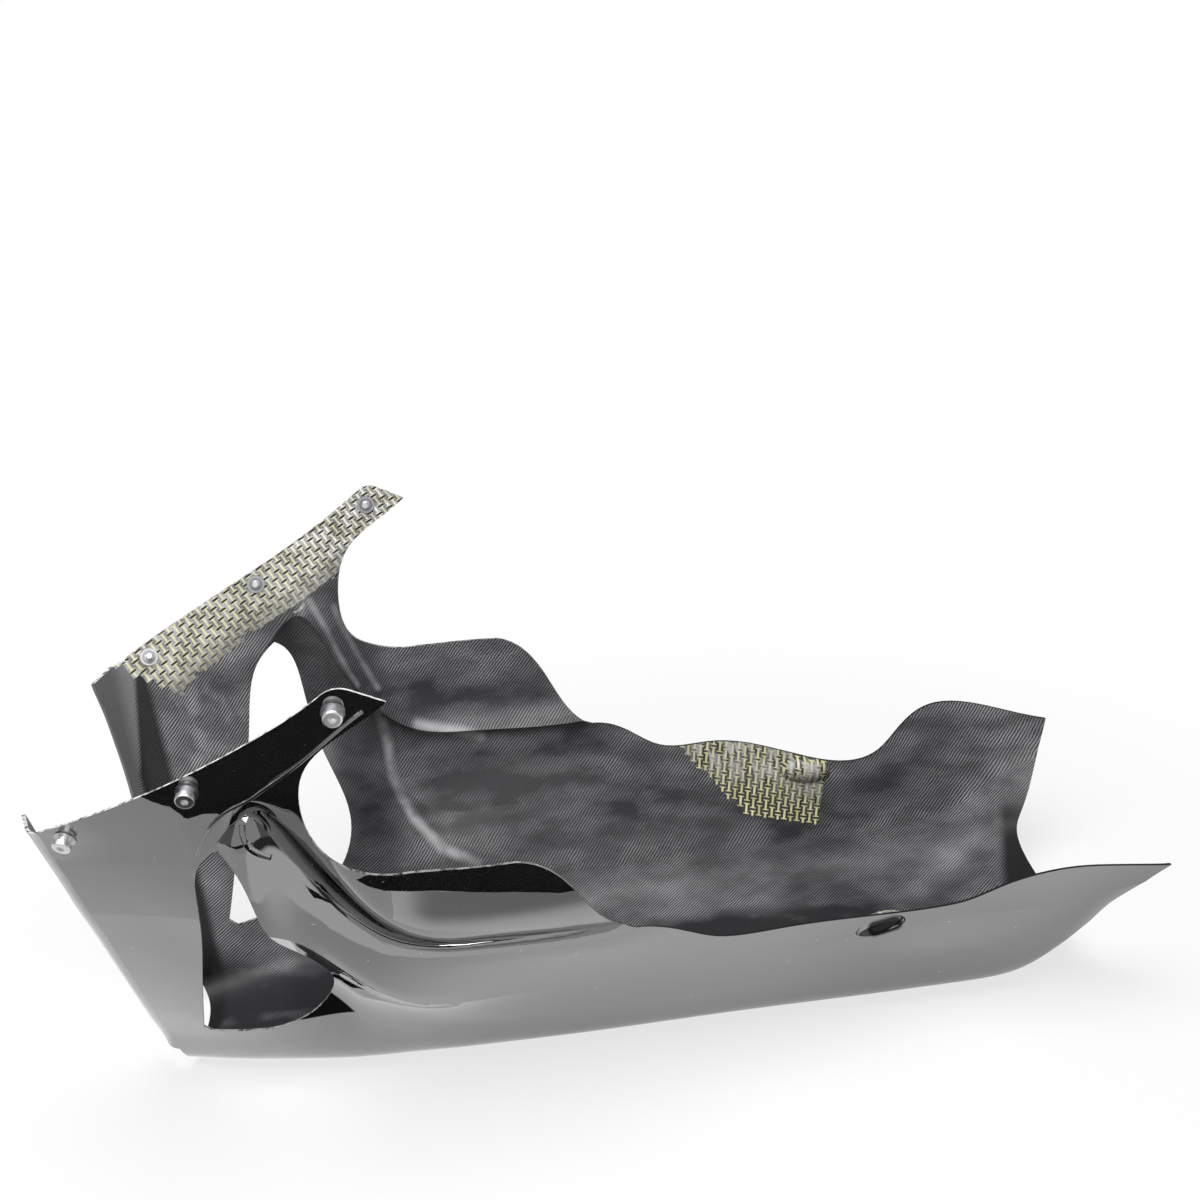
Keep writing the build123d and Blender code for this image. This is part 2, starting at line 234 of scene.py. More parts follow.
def place(tree):
    """Object coordinates in millimetres: x, y, z and the vector."""
    coordinates = tree.nodes.new("ShaderNodeTexCoord")
    scale = tree.nodes.new("ShaderNodeVectorMath")
    scale.operation = "SCALE"
    tree.links.new(coordinates.outputs["Object"], scale.inputs[0])
    scale.inputs["Scale"].default_value = 1000
    parts = tree.nodes.new("ShaderNodeSeparateXYZ")
    tree.links.new(scale.outputs[0], parts.inputs[0])
    return parts.outputs[0], parts.outputs[1], parts.outputs[2], scale.outputs[0]


def cloudy(tree, vector, size, detail=2.0, stretch=(1, 1, 1)):
    """Noise whose clouds are about so many millimetres across, from 0 to 1."""
    squeeze = tree.nodes.new("ShaderNodeMapping")
    tree.links.new(vector, squeeze.inputs["Vector"])
    squeeze.inputs["Scale"].default_value = [s / size for s in stretch]
    noise = tree.nodes.new("ShaderNodeTexNoise")
    tree.links.new(squeeze.outputs[0], noise.inputs["Vector"])
    noise.inputs["Scale"].default_value = 1.0
    noise.inputs["Detail"].default_value = detail
    return noise.outputs[0]


def relief(tree, height, depth, shader):
    """Bump of so many metres on a shader."""
    bump = tree.nodes.new("ShaderNodeBump")
    bump.inputs["Strength"].default_value = 1.0
    bump.inputs["Distance"].default_value = depth
    tree.links.new(height, bump.inputs["Height"])
    tree.links.new(bump.outputs[0], shader.inputs["Normal"])


print("helpers for places, noise and relief ready")

# %% [markdown]
# ## Black gel coat
#
# The outside came out of a polished mould and was lacquered, so it is a black mirror with a trace of orange
# peel. A plain dark base under two sharp reflections gives this: what the eye sees on it is the floor nearby
# and the dark things beyond. A few grains of dust lie on it.

# %% Gel coat
GLOSS_INDEX = 2.3         # refractive index of both reflections; a high one makes a strong mirror
ORANGE_PEEL = 0.00002     # metres of relief
PEEL_SIZE = 14.0          # millimetres from one soft hump to the next
DUST_SIZE = 2.2           # millimetres of the noise whose highest peaks are the grains

gel_coat, gel, gel_shader = new_material("gel_coat_black")
gel_shader.inputs["Roughness"].default_value = 0.05
gel_shader.inputs["IOR"].default_value = GLOSS_INDEX
gel_shader.inputs["Coat IOR"].default_value = GLOSS_INDEX
gel_shader.inputs["Coat Roughness"].default_value = 0.03
gel_x, gel_y, gel_z, gel_place = place(gel)
dust = fade(gel, cloudy(gel, gel_place, DUST_SIZE, 0.0), 0.87, 0.9)
gel.links.new(mix_colour(gel, dust, (0.007, 0.007, 0.008), (0.4, 0.4, 0.4)), gel_shader.inputs["Base Color"])
relief(gel, cloudy(gel, gel_place, PEEL_SIZE, 1.0), ORANGE_PEEL, gel_shader)
print("material", gel_coat.name, len(gel.nodes), "nodes")

# %% [markdown]
# Worn spots, streaks and stains have their places on the part. A spot is drawn by its distance from a line
# through a few points, and a straight border by a slanting line in the side view. The way across is folded at
# the middle where both sides get the same, so a point is given as x, the distance from the middle, and z.

# %% Helpers for lines on the part


def folded_place(tree, x_at, y_at, z_at):
    """The place as a vector, with its way across folded at the middle."""
    node = tree.nodes.new("ShaderNodeCombineXYZ")
    for socket, term in zip(node.inputs, (x_at, calc(tree, "ABSOLUTE", y_at), z_at)):
        tree.links.new(term, socket)
    return node.outputs[0]


def past_line(tree, x_at, z_at, per_x, per_z, offset):
    """How far a point lies past a slanting line in the side view."""
    return calc(tree, "MULTIPLY_ADD", x_at, per_x, calc(tree, "MULTIPLY_ADD", z_at, per_z, offset))


def streak(tree, vector, points, width):
    """1 on a line through points, falling to 0 at a distance of one width."""
    shares = []
    for start, end in zip(points, points[1:]):
        span = Vector(end) - Vector(start)
        dot = tree.nodes.new("ShaderNodeVectorMath")
        dot.operation = "DOT_PRODUCT"
        tree.links.new(vector, dot.inputs[0])
        dot.inputs[1].default_value = span / span.length_squared
        along = calc(tree, "SUBTRACT", dot.outputs["Value"], Vector(start).dot(span) / span.length_squared)
        along.node.use_clamp = True
        foot = tree.nodes.new("ShaderNodeVectorMath")
        foot.operation = "MULTIPLY_ADD"
        tree.links.new(along, foot.inputs[0])
        foot.inputs[1].default_value = span
        foot.inputs[2].default_value = start
        apart = tree.nodes.new("ShaderNodeVectorMath")
        apart.operation = "DISTANCE"
        tree.links.new(vector, apart.inputs[0])
        tree.links.new(foot.outputs[0], apart.inputs[1])
        shares.append(fade(tree, apart.outputs["Value"], width, 0.0))
    return chain(tree, "MAXIMUM", *shares)


print("helpers for lines ready")

# %% [markdown]
# Beside the left vent a corner of the gel coat is drawn without its gloss, and the bottoms of the two finger
# dimples carry painted shade. There the shader gives up its two reflections and only the black base is left.

# %% Dull corner and painted shade in the dimples
DULL_FRONT = (0.85, 0.526, 130.5)       # the corner's slanting side: share of x, share of z, offset
DULL_FOOT = (-0.121, 1.0, -82.0)        # its lower side
DULL_FROM, DULL_SIDE = -228, -60        # it starts behind this x and lies left of this y
DIMPLE = [(164, 115, 83), (178, 113, 84)]
DIMPLE_WIDTH = 8.5

before_front = past_line(gel, gel_x, gel_z, *DULL_FRONT)
above_foot = past_line(gel, gel_x, gel_z, *DULL_FOOT)
dull = chain(gel, "MULTIPLY", fade(gel, before_front, 0.6, -0.6), fade(gel, above_foot, -0.6, 0.6),
             calc(gel, "GREATER_THAN", gel_x, DULL_FROM), calc(gel, "LESS_THAN", gel_y, DULL_SIDE))
# painted shade: the bottom of each dimple loses its reflections and shows the black base
dimple_spot = streak(gel, folded_place(gel, gel_x, gel_y, gel_z), DIMPLE, DIMPLE_WIDTH)
dimple_painted_shade = fade(gel, dimple_spot, 0.1, 0.6, 0.0, 0.9)
glossy = calc(gel, "SUBTRACT", 1.0, calc(gel, "MAXIMUM", dimple_painted_shade, dull))
gel.links.new(glossy, gel_shader.inputs["Coat Weight"])
gel.links.new(calc(gel, "MULTIPLY", glossy, 0.5), gel_shader.inputs["Specular IOR Level"])
print("dull corner and dimples drawn,", len(gel.nodes), "nodes")

# %% [markdown]
# ## Bare cloth inside
#
# Two cloths show inside. The carbon twill has fine diagonal lines that rise towards the tail. The hybrid cloth
# is a lattice of upright yellow tows, each lying over the dark carbon for most of one repeat, with the next
# column half a repeat lower. Smooth resin clouds, painted highlights and painted shade lie over both. All of it
# could be painted on a texture, but sums on the place of a point need no picture and never blur. The cloth is
# laid along x and up the wall: the second way is the half width on the floor and the height on the wall.

# %% Carbon twill
TWILL_PITCH = 2.1                       # from one diagonal line to the next
TWILL_RISE = math.radians(50)           # slope of the lines on the wall
FLOOR_HALF = 100.0                      # half width of the floor, where the wall starts to climb
WALL_STRETCH = 1.12                     # length of leaning wall for each millimetre of height

cloth, weave, weave_shader = new_material("bare_laminate")
x, y, z, spot = place(weave)
half_width = calc(weave, "MINIMUM", calc(weave, "ABSOLUTE", y), FLOOR_HALF)
up_wall = calc(weave, "MULTIPLY_ADD", z, WALL_STRETCH, half_width)
climb = calc(weave, "MULTIPLY", calc(weave, "SIGN", y), up_wall)
waver = calc(weave, "MULTIPLY", cloudy(weave, spot, 9.0), 0.9)
across = calc(weave, "SUBTRACT", calc(weave, "MULTIPLY", x, math.sin(TWILL_RISE) / TWILL_PITCH),
              calc(weave, "MULTIPLY", climb, math.cos(TWILL_RISE) / TWILL_PITCH))
ridge = calc(weave, "SINE", calc(weave, "MULTIPLY", calc(weave, "ADD", across, waver), 2 * math.pi))
thread = fade(weave, ridge, -0.5, 0.9)
print("twill lines every", TWILL_PITCH, "mm")

# %% [markdown]
# Painted highlights lie as pale streaks in the corners between walls: down the pillar into the trough, along
# two thin runs on the pillar, and under the shelf. Noise breaks the streaks up.

# %% Painted highlight streaks
HIGHLIGHT_STREAKS = [                             # points, width in millimetres, strength
    ([(-168, 163, 175), (-164, 159, 140), (-163, 148, 112), (-150, 127, 86), (-130, 112, 64), (-105, 105, 52)],
     7.0, 1.0),
    ([(-209, 173, 264), (-200, 165, 244), (-192, 159, 224), (-180, 153, 197)], 5.0, 0.6),
    ([(-191, 177, 255), (-188, 174, 243), (-176, 170, 209), (-166, 165, 187)], 5.0, 0.6),
    ([(-138, 160, 152), (-109, 157, 144), (-90, 160, 136)], 8.0, 1.0)]

folded = folded_place(weave, x, y, z)
# painted highlight: pale streaks along the corners between walls
highlight_lines = chain(weave, "MAXIMUM", *[calc(weave, "MULTIPLY", streak(weave, folded, points, width), strength)
                                       for points, width, strength in HIGHLIGHT_STREAKS])
broken = fade(weave, cloudy(weave, spot, 22.0, 3.0), 0.32, 0.62, 0.3, 1.0)
painted_highlight = chain(weave, "MULTIPLY", highlight_lines, 0.7, broken)
print("resin streaks along", len(HIGHLIGHT_STREAKS), "lines")

# %% [markdown]
# Smooth clouds of resin dull the lines of the twill in places, and finer mottling breaks them up. The clouds
# come from noise, but the larger ones have their places, and they are partly resin and partly painted light
# and shade: dark ones in the middle of the wall, painted shade low in the nose, light ones under the shelf's
# rim, on the pillar and in the wing. They are drawn as broad streaks.

# %% Clouds in the resin, painted light and shade
TONE_AND_SHADE_PATCHES = [                             # points, width in millimetres, how much lighter or darker
    ([(-150, 149, 111), (-60, 143, 100), (0, 138, 94), (60, 122, 70), (100, 112, 58)], 34, -0.22),
    ([(-110, 122, 72), (0, 112, 55), (130, 102, 36)], 62, -0.2),
    ([(-320, 25, 4), (-225, 22, 3)], 42, -0.7),
    ([(-306, 82, 82), (-298, 62, 38), (-265, 66, 22)], 24, 0.42),
    ([(-130, 168, 168), (-40, 168, 160)], 22, -0.3),
    ([(-170, 180, 203), (-110, 184, 205), (-50, 180, 190)], 30, 0.45),
    ([(-130, 158, 137), (-30, 155, 130)], 14, 0.32),
    ([(-325, 132, 212), (-333, 108, 165)], 38, 0.25),
    ([(-225, 174, 225), (-188, 164, 195)], 42, 0.28),
    ([(-278, 156, 233), (-200, 172, 250)], 24, 0.28),
    ([(-188, 98, 72), (-165, 102, 66)], 18, 0.2),
    ([(215, 112, 92), (250, 118, 98)], 18, 0.22),
    ([(182, 111, 84), (192, 108, 72)], 26, 0.35),
    ([(40, 36, 4), (130, 30, 3), (190, 34, 4)], 32, -0.5),
    ([(240, 55, 8), (275, 80, 16), (296, 102, 50)], 26, 0.32)]

clouds = fade(weave, cloudy(weave, spot, 85.0, 4.0, (0.8, 1, 1.5)), 0.36, 0.64)
mottle = fade(weave, cloudy(weave, spot, 20.0, 5.0, (0.6, 1, 1.4)), 0.34, 0.70, -0.12, 0.2)
wisps = fade(weave, cloudy(weave, spot, 24.0, 5.0, (1.3, 1, 0.6)), 0.5, 0.72, 0.0, 0.55)
wisps = chain(weave, "MULTIPLY", wisps, fade(weave, x, -235, -265), fade(weave, z, 60, 150, 0.3, 1.0))
lighter_tail = fade(weave, x, -60, 190, 0.12, 0.24)
lift = chain(weave, "ADD", calc(weave, "MULTIPLY_ADD", clouds, 0.34, lighter_tail), mottle, wisps)
# the patches are partly resin tone and partly painted light and shade, such as the painted shade low in the
# nose
for points, width, amount in TONE_AND_SHADE_PATCHES:
    lift = calc(weave, "MULTIPLY_ADD", streak(weave, folded, points, width), amount, lift)
lift.node.use_clamp = True
print("clouds with", len(TONE_AND_SHADE_PATCHES), "patches")

# %% [markdown]
# The lift of the clouds lightens the lines of the twill a lot and the gaps between them a little. On the pillar
# the resin lies thicker, and the lines show less.

# %% Twill colour
HIGHLIGHT_PALE = (0.46, 0.46, 0.47)

smooth_pillar = calc(weave, "MULTIPLY", fade(weave, x, -150, -172), fade(weave, x, -268, -240))
line_colour = mix_colour(weave, lift, (0.03, 0.03, 0.033), (0.42, 0.42, 0.435))
gap_colour = mix_colour(weave, lift, (0.012, 0.012, 0.014), (0.035, 0.035, 0.038))
soft_thread = calc(weave, "MULTIPLY", thread, calc(weave, "MULTIPLY_ADD", smooth_pillar, -0.6, 1.0))
twill_colour = mix_colour(weave, soft_thread, gap_colour, line_colour)
# the painted highlight streaks are laid over the twill
twill_colour = mix_colour(weave, painted_highlight, twill_colour, HIGHLIGHT_PALE)
print("twill colour ready,", len(weave.nodes), "nodes")

# %% [markdown]
# The turned-in leading edge shows a smooth pale strip, and the hollow corner behind it is painted black as
# shade.
# Both follow the leading edge, which leans forward as it rises, and the strip widens towards the top. The floor
# near the tail carries black painted shade as well.

# %% Leading edge and tail
LEADING_EDGE = (1.0, 0.145, 331)        # share of x, share of z, offset
WIDER_ABOVE = 165                       # the strip widens above this height
PAINTED_SHADE_BLACK = (0.008, 0.008, 0.009)

behind_lead = past_line(weave, x, z, *LEADING_EDGE)
climbed = calc(weave, "MAXIMUM", calc(weave, "SUBTRACT", z, WIDER_ABOVE), 0.0)
behind_strip = calc(weave, "SUBTRACT", behind_lead, calc(weave, "MULTIPLY", climbed, 0.2))
# painted shade in the hollow corner behind the leading edge
corner_shade = chain(weave, "MULTIPLY", fade(weave, behind_strip, 5, 9), fade(weave, behind_lead, 32, 25),
                   fade(weave, z, 255, 235, 0.0, 0.95))
pale_strip = fade(weave, behind_strip, 8, 4)
from_tail = calc(weave, "MULTIPLY_ADD", calc(weave, "ABSOLUTE", y), -0.3, x)
# painted shade on the floor near the tail
tail_floor_shade = calc(weave, "MULTIPLY", fade(weave, from_tail, 286, 296, 0.0, 0.97), fade(weave, z, 62, 40))
edge_and_tail_shade = calc(weave, "MAXIMUM", corner_shade, tail_floor_shade)
twill_colour = mix_colour(weave, edge_and_tail_shade, twill_colour, PAINTED_SHADE_BLACK)
twill_colour = mix_colour(weave, pale_strip, twill_colour, (0.16, 0.16, 0.165))
print("leading edge and tail ready")

# %% [markdown]
# The hybrid cloth lies square to the arm's top edge on the arms. At the waist it falls a little towards the
# tail. A column number and a place within the column decide what shows: the upright bar, the crossbar at each
# of its ends, or the carbon beside them. The next column is shifted by half a repeat.

# %% Hybrid cloth pattern
TOW_PITCH = 5.05                        # from one column of yellow tows to the next
ARM_SLOPE = math.radians(28)            # the cloth rises with the arm's top edge
WAIST_SLOPE = math.radians(-13)         # and falls at the waist
ARM_FOOT = 170.0                        # height that parts the arms' cloth from the waist's

on_arm = calc(weave, "GREATER_THAN", z, ARM_FOOT)
turn_cos, turn_sin = [calc(weave, "MULTIPLY_ADD", on_arm, part(ARM_SLOPE) - part(WAIST_SLOPE),
                           part(WAIST_SLOPE)) for part in (math.cos, math.sin)]
height = calc(weave, "MULTIPLY", z, 1.08)
along_tows = calc(weave, "MULTIPLY_ADD", x, turn_cos, calc(weave, "MULTIPLY", height, turn_sin))
up_tows = calc(weave, "SUBTRACT", calc(weave, "MULTIPLY", height, turn_cos),
               calc(weave, "MULTIPLY", x, turn_sin))
columns = calc(weave, "DIVIDE", along_tows, TOW_PITCH)
rows = calc(weave, "DIVIDE", up_tows, TOW_PITCH)
column = calc(weave, "FLOOR", columns)
shifted = calc(weave, "MULTIPLY", calc(weave, "ADD", rows, column), 0.5)
from_middle = calc(weave, "ABSOLUTE", calc(weave, "SUBTRACT", calc(weave, "FRACT", columns), 0.5))
from_centre = calc(weave, "ABSOLUTE", calc(weave, "SUBTRACT", calc(weave, "FRACT", shifted), 0.5))
within = fade(weave, from_centre, 0.43, 0.40)
bar = calc(weave, "MULTIPLY", fade(weave, from_middle, 0.21, 0.14), within)
crossbar = chain(weave, "MULTIPLY", fade(weave, from_centre, 0.31, 0.34), within,
                 fade(weave, from_middle, 0.49, 0.44))
upright = calc(weave, "MAXIMUM", bar, calc(weave, "MULTIPLY", crossbar, 0.85))
# painted shade in the gaps beside the tows
tow_gap_shade = fade(weave, from_centre, 0.42, 0.44)
print("hybrid repeat", 2 * TOW_PITCH, "mm")

# %% [markdown]
# The pieces of hybrid cloth were cut along their tows, so their borders step from tow to tow. The areas are
# therefore worked out at the middle of each cell and not at each point. Lengths along and across the tows are
# counted from the middle of the part.

# %% Where the hybrid cloth lies
ARM_BORDER = 353                        # lower border on the arms, across the tows
ARM_FRONT = (-0.426, -20.2)             # front border: slope and place along the tows
WAIST_BORDER, WAIST_END = 84, 156       # lower and rear border at the waist
WAIST_FRONT = (-1.21, 201.5)            # front border at the waist

along = calc(weave, "MULTIPLY", calc(weave, "ADD", column, 0.5), TOW_PITCH)
across_tows = calc(weave, "MULTIPLY", calc(weave, "ADD", calc(weave, "FLOOR", rows), 0.5), TOW_PITCH)
ragged = calc(weave, "MULTIPLY", calc(weave, "SUBTRACT", cloudy(weave, spot, 18.0), 0.5), 20.0)
arm_front = calc(weave, "MULTIPLY_ADD", across_tows, *ARM_FRONT)
arm_cloth = chain(weave, "MULTIPLY", on_arm, calc(weave, "GREATER_THAN", along, arm_front),
                  calc(weave, "GREATER_THAN", calc(weave, "ADD", across_tows, ragged), ARM_BORDER))
waist_front = calc(weave, "MULTIPLY_ADD", across_tows, *WAIST_FRONT)
waist_cloth = chain(weave, "MULTIPLY", calc(weave, "SUBTRACT", 1.0, on_arm),
                    calc(weave, "GREATER_THAN", across_tows, WAIST_BORDER),
                    calc(weave, "LESS_THAN", along, WAIST_END),
                    calc(weave, "GREATER_THAN", along, waist_front))
hybrid = calc(weave, "ADD", arm_cloth, waist_cloth)
print("hybrid cloth on the arms and at the waist")

# %% [markdown]
# Aramid is yellow, but it is paler on the arms, where the light glances off it. The carbon beside it glints on
# the arms and is nearly black at the waist, and the gaps beside the tows on the arms carry painted shade. A
# veil of resin lies over the bulge of the dimple, and the lower border on the arms sinks into dark resin.

# %% Hybrid colours
BULGE = [(95, 138, 105), (130, 128, 100), (150, 118, 96), (172, 112, 84)]
BULGE_WIDTH = 36.0
SUNK_FROM, SUNK_TO = 352, 374           # across the tows, where the border comes out of the resin

tow_shade = fade(weave, cloudy(weave, spot, 8.0, 2.0), 0.3, 0.7)
glare = calc(weave, "MULTIPLY", on_arm, fade(weave, x, -260, -170))
yellow = mix_colour(weave, tow_shade, (0.5, 0.47, 0.22), (0.76, 0.73, 0.42))
yellow = mix_colour(weave, calc(weave, "MULTIPLY", on_arm, 0.35), yellow, (0.75, 0.74, 0.6))
yellow = mix_colour(weave, calc(weave, "MULTIPLY", glare, tow_shade), yellow, (0.95, 0.94, 0.82))
carbon = mix_colour(weave, on_arm, (0.035, 0.035, 0.035),
                    mix_colour(weave, tow_shade, (0.16, 0.16, 0.17), (0.46, 0.46, 0.48)))
# painted shade: the tow gaps on the arms turn nearly black
carbon = mix_colour(weave, calc(weave, "MULTIPLY", tow_gap_shade, on_arm), carbon, (0.012, 0.012, 0.014))
tow_colour = mix_colour(weave, upright, carbon, yellow)
veil = calc(weave, "MULTIPLY", streak(weave, folded, BULGE, BULGE_WIDTH),
            fade(weave, cloudy(weave, spot, 9.0, 4.0, (2.0, 1, 0.6)), 0.36, 0.62, 0.0, 0.8))
tow_colour = mix_colour(weave, veil, tow_colour, (0.5, 0.5, 0.48))
sunk = fade(weave, rows, SUNK_FROM / TOW_PITCH, SUNK_TO / TOW_PITCH, 0.7, 0.0)
border = calc(weave, "MULTIPLY", on_arm, sunk)
tow_colour = mix_colour(weave, border, tow_colour, (0.15, 0.15, 0.14))
weave.links.new(mix_colour(weave, hybrid, twill_colour, tow_colour), weave_shader.inputs["Base Color"])
print("hybrid colours ready")

# %% [markdown]
# The resin over the cloth is satin, not gloss. The tows of the hybrid cloth stand out of it, and so do the
# lines of the twill, but less.

# %% Relief of the cloth
CLOTH_RELIEF = 0.0003                   # metres
TOW_HEIGHT, TWILL_HEIGHT = 0.8, 0.25    # shares of the relief

weave_shader.inputs["Roughness"].default_value = 0.42
weave_shader.inputs["Specular IOR Level"].default_value = 0.3
surface = calc(weave, "ADD", chain(weave, "MULTIPLY", upright, TOW_HEIGHT, hybrid),
               chain(weave, "MULTIPLY", thread, TWILL_HEIGHT, calc(weave, "SUBTRACT", 1.0, hybrid)))
relief(weave, surface, CLOTH_RELIEF, weave_shader)
print("material", cloth.name, len(weave.nodes), "nodes")

# %% [markdown]
# ## Cut edges
#
# The moulding was trimmed with a saw and sanded. A sanded laminate edge is pale, because the broken resin
# scatters light, with thin dark layers of carbon in it. Towards the tail the edge is black, as the photograph
# shows.

# %% Cut edges
edge, edge_tree, edge_shader = new_material("cut_edge")
edge_x, _, edge_z, edge_spot = place(edge_tree)
layer = fade(edge_tree, cloudy(edge_tree, edge_spot, 4.0, 2.0), 0.3, 0.6)
sanded = chain(edge_tree, "MULTIPLY", layer, fade(edge_tree, edge_x, 30, -70),
               fade(edge_tree, edge_z, 220, 250, 0.4, 1.0))
edge_tree.links.new(mix_colour(edge_tree, sanded, (0.006, 0.006, 0.007), (0.8, 0.8, 0.78)),
                    edge_shader.inputs["Base Color"])
edge_shader.inputs["Roughness"].default_value = 0.3
print("material", edge.name, len(edge_tree.nodes), "nodes")

# %% [markdown]
# The skin now gets its three materials, in the order of the numbers that its sheets were sorted by. It stands
# for the CAD node of the shell and rides on the part's only body.

# %% The finishes on the skin
skin.data.materials.clear()
for material in (gel_coat, cloth, edge):
    skin.data.materials.append(material)
skin.data.polygons.foreach_set("material_index", finishes)
skin.data.update()
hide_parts("belly_pan_shell")
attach(skin, "root")
print("skin has", [slot.material.name for slot in skin.material_slots])

# %% [markdown]
# ## Metal of the fasteners
#
# The studs are bright plated steel, the grommets satin alloy and the retaining rings spring steel. Bare metal
# has no colour of its own apart from its reflection, so each is a metallic shader with its own roughness.

# %% Metals


def metal(name, colour, roughness):
    """A bare metal."""
    material, tree, shader = new_material(name)
    shader.inputs["Base Color"].default_value = (*colour, 1)
    shader.inputs["Metallic"].default_value = 1
    shader.inputs["Roughness"].default_value = roughness
    return material


for node, material in (("fastener_studs", metal("plated_steel", (0.92, 0.92, 0.93), 0.38)),
                       ("fastener_grommets", metal("satin_alloy", (0.6, 0.6, 0.62), 0.3)),
                       ("fastener_rings", metal("spring_steel", (0.32, 0.32, 0.33), 0.4))):
    frame["nodes"][node].material_slots[0].material = material
    print("metal", material.name, "on", node)

# %% [markdown]
# ## Camera
#
# The camera stands where the photograph was taken from: a little over a metre away on the left side, looking
# down by about twenty degrees, with the pan lying nose-down in the picture by a few degrees.

# %% Place the camera
CAMERA_AT = Vector((-0.0475, -1.0285, 0.68))
CAMERA_YAW = math.radians(5.27)
CAMERA_PITCH = math.radians(19.90)
PAN_TILT = math.radians(5.7)

ahead = Vector((math.sin(CAMERA_YAW) * math.cos(CAMERA_PITCH),
                math.cos(CAMERA_YAW) * math.cos(CAMERA_PITCH),
                -math.sin(CAMERA_PITCH)))
aside = Vector((math.cos(CAMERA_YAW), -math.sin(CAMERA_YAW), 0))
above = aside.cross(ahead)
level = Matrix.Rotation(PAN_TILT, 3, "Y")
bpy.ops.object.camera_add()
camera = bpy.context.active_object
camera.name = "photo_camera"
camera.data.sensor_width = 36
camera.data.lens = 48
axes = Matrix((level @ aside, level @ above, level @ -ahead)).transposed()
camera.matrix_world = Matrix.Translation(CAMERA_AT) @ axes.to_4x4()
camera.data.clip_start = 0.05
bpy.context.scene.camera = camera
print("camera looks along", [round(v, 3) for v in level @ ahead])

# %% [markdown]
# ## Studio
#
# A black mirror shows the room, so the room is half of the finish. Here it is a white floor, a white
# background, a few cards and one lamp. The floor's material is a matte white that takes the shadow, blended
# with a glow.

# %% Floor
FLOOR_AT = -0.0006                      # just under the pan's lowest point

bpy.context.scene.view_settings.view_transform = "Standard"
bpy.ops.mesh.primitive_plane_add(size=80, location=(0, 0, FLOOR_AT))
floor = bpy.context.active_object
floor.name = "studio_floor"
floor_paint, floor_tree, floor_shader = new_material("floor_white")
floor.data.materials.append(floor_paint)
floor_tree.nodes.remove(floor_shader)
matte = floor_tree.nodes.new("ShaderNodeBsdfDiffuse")
matte.inputs["Color"].default_value = (0.85, 0.85, 0.85, 1)
glow = floor_tree.nodes.new("ShaderNodeEmission")
blend = floor_tree.nodes.new("ShaderNodeMixShader")
floor_tree.links.new(matte.outputs[0], blend.inputs[1])
floor_tree.links.new(glow.outputs[0], blend.inputs[2])
floor_tree.links.new(blend.outputs[0], floor_tree.nodes["Material Output"].inputs["Surface"])
print("floor", floor.name)

# %% [markdown]
# For the camera the floor glows partly near the pan and fully far off, so that it runs into the white
# background and yet keeps the shadow. A reflection shows the glow alone.

# %% Floor for the camera
WHITE_FROM, WHITE_TO = 380, 700         # millimetres from the pan's middle, from partly to fully glowing

paths = floor_tree.nodes.new("ShaderNodeLightPath")
to_camera = paths.outputs["Is Camera Ray"]
far_x, far_y, _, far_spot = place(floor_tree)
length = floor_tree.nodes.new("ShaderNodeVectorMath")
length.operation = "LENGTH"
floor_tree.links.new(far_spot, length.inputs[0])
distance = length.outputs["Value"]
share = fade(floor_tree, distance, WHITE_FROM, WHITE_TO, 0.74, 1.0)
seen = chain(floor_tree, "MAXIMUM", calc(floor_tree, "MULTIPLY", share, to_camera),
             paths.outputs["Is Glossy Ray"], paths.outputs["Is Transmission Ray"])
floor_tree.links.new(seen, blend.inputs[0])
print("floor white from", WHITE_TO, "mm on")

# %% [markdown]
# In reflections the floor's brightness goes by place, as in a room where the light falls unevenly. Under the
# nose it is bright in the middle, under the tail it is bright outside, and far off beyond the tail it is dark.

# %% Floor in reflections
aside_y = calc(floor_tree, "ABSOLUTE", far_y)
nose_glow = fade(floor_tree, aside_y, 50, 170, 1.0, 0.6)
tail_glow = fade(floor_tree, aside_y, 50, 190, 0.42, 0.95)
to_tail = fade(floor_tree, far_x, -260, -20)
change = calc(floor_tree, "SUBTRACT", tail_glow, nose_glow)
near_glow = calc(floor_tree, "MULTIPLY_ADD", change, to_tail, nose_glow)
outward = calc(floor_tree, "MULTIPLY", fade(floor_tree, aside_y, 295, 350),
               fade(floor_tree, far_x, -330, -230, 0.7, 1.0))
rear_corner = calc(floor_tree, "MULTIPLY", fade(floor_tree, distance, 900, 1500),
                   fade(floor_tree, far_x, 300, 900))
dim = calc(floor_tree, "MULTIPLY", calc(floor_tree, "MAXIMUM", near_glow, outward),
           calc(floor_tree, "MULTIPLY_ADD", rear_corner, -0.95, 1.0))
floor_tree.links.new(calc(floor_tree, "MAXIMUM", dim, to_camera), glow.inputs["Strength"])
print("floor material", len(floor_tree.nodes), "nodes")

# %% [markdown]
# The world is plain white for the camera. To everything else it is a weak, even light that fills the shadows.

# %% World
FILL_LIGHT = 0.2

world = bpy.data.worlds.new("studio")
bpy.context.scene.world = world
world.use_nodes = True
sky = world.node_tree
back = sky.nodes["Background"]
back.inputs["Color"].default_value = (1, 1, 1, 1)
sky_paths = sky.nodes.new("ShaderNodeLightPath")
sky.links.new(fade(sky, sky_paths.outputs["Is Camera Ray"], 0, 1, FILL_LIGHT, 1.0), back.inputs["Strength"])
print("world", world.name)

# %% [markdown]
# Cards are what a photographer holds beside a glossy thing to draw its reflections. Small dark ones beside the
# pan give the black arms and the black upper half of each shelf. A grey one lower down tones the rest of the
# shelf, and a grey wall behind the camera lights the fillets. They are seen in reflections only.

